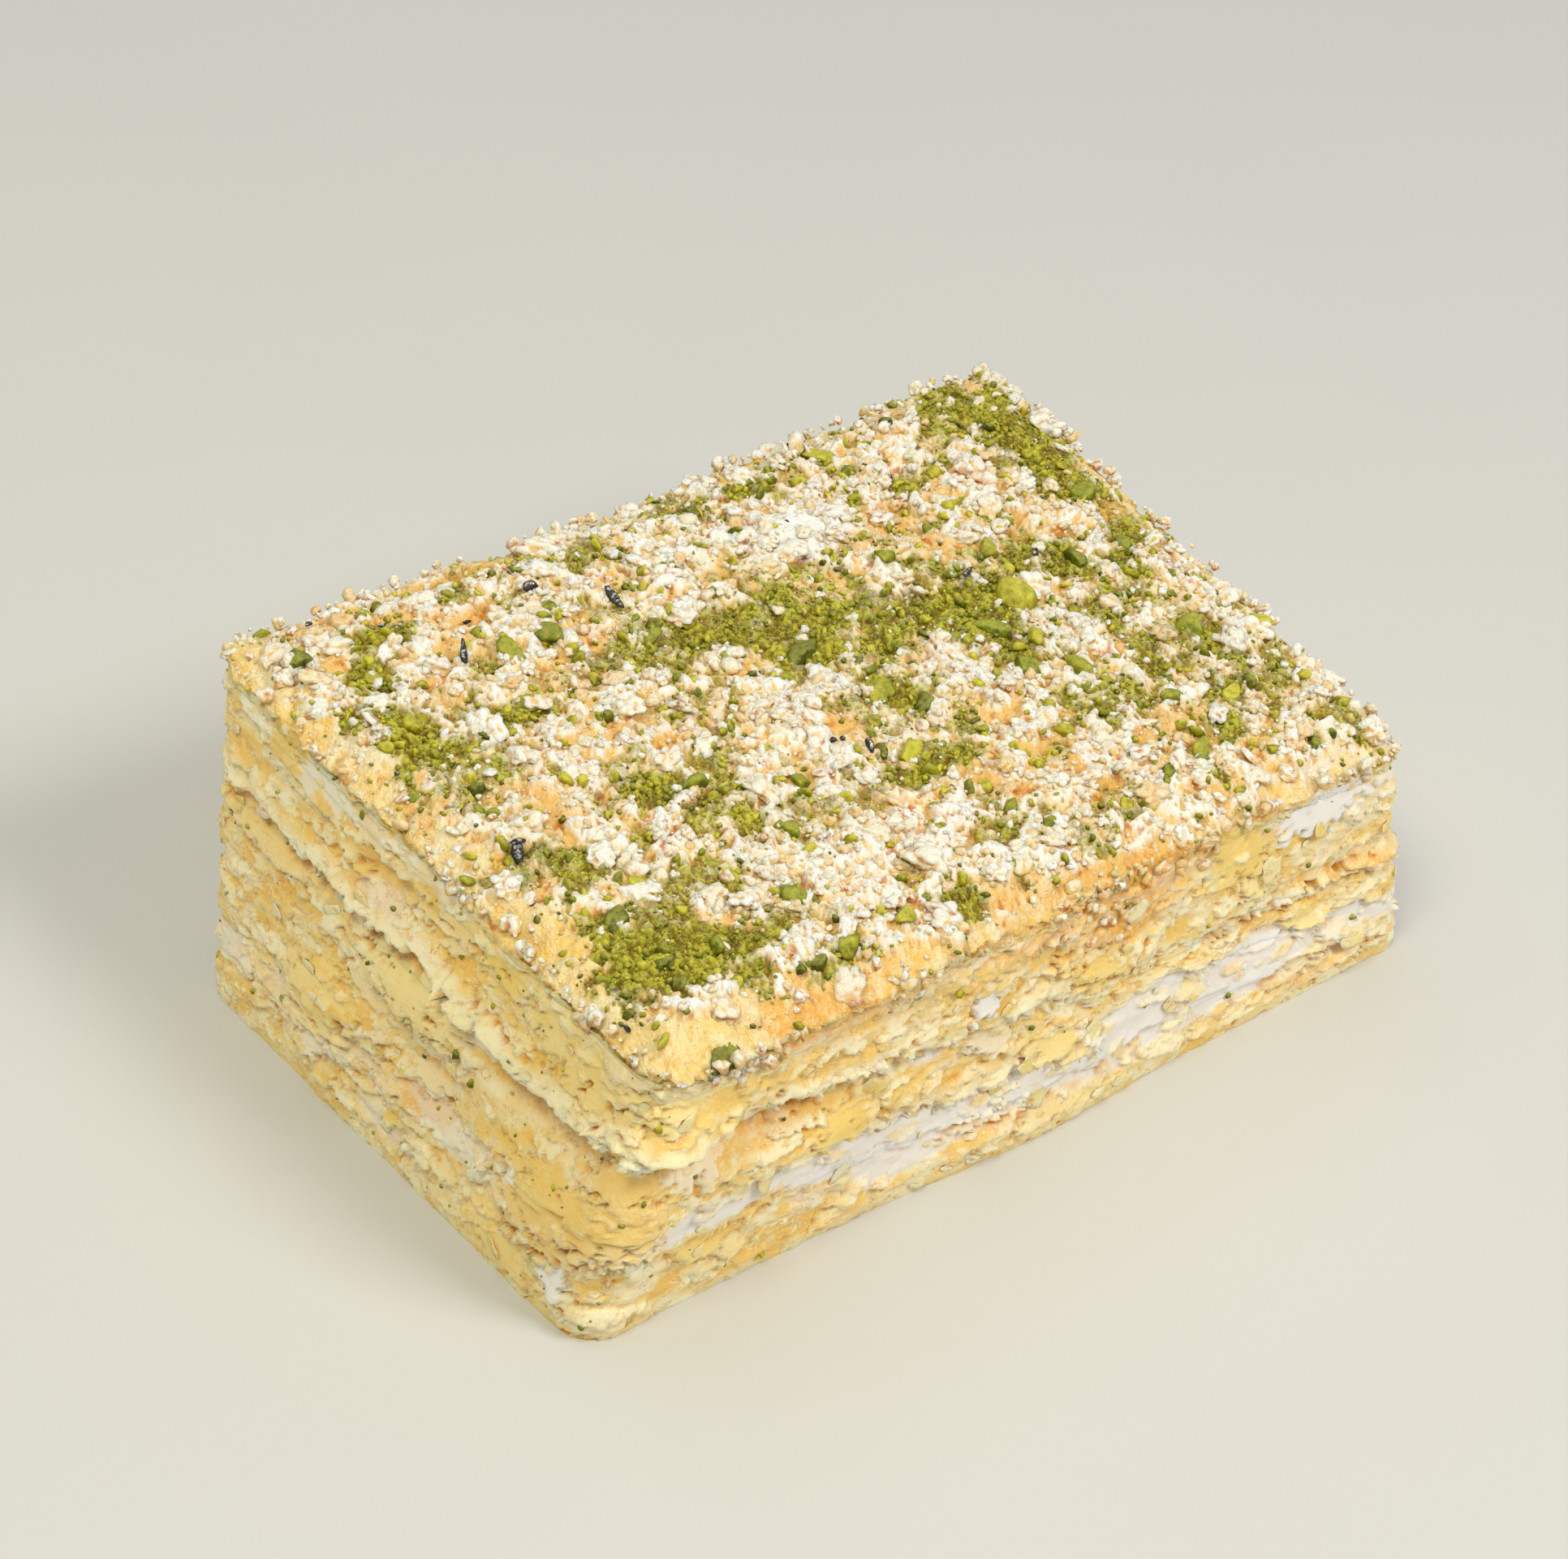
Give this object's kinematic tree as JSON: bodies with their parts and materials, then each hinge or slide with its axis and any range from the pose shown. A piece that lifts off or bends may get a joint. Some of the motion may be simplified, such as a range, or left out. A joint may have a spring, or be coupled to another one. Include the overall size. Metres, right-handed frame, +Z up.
{
  "type": "mille-feuille slice",
  "caption": "Rectangular slice of layered puff pastry and cream with a crust of dusted pastry crumbs and chopped green nuts, served as a dessert.",
  "frame": {"origin": "middle of the underside of the bounding box, on the surface that the slice stands on", "axes": "+X along the long side, +Z up; -Y is the long cut side that faces forward, -X the short end on its left"},
  "size_m": [0.1146, 0.0756, 0.0409],
  "materials": {
    "pastry": "dry flaky baked pastry, matt with a faint sheen on smooth leaves",
    "cream": "soft whipped cream, satin",
    "crumbs": "pastry crumbs dusted with fine sugar, matt",
    "nuts": "ground and chopped green nuts, matt to satin"
  },
  "bodies": {
    "root": {"pastry_base": "pastry", "cream_lower": "cream", "pastry_middle": "pastry", "cream_upper": "cream", "pastry_top": "pastry", "cream_coat": "cream", "crumb_crust": "crumbs"}
  },
  "joints": []
}
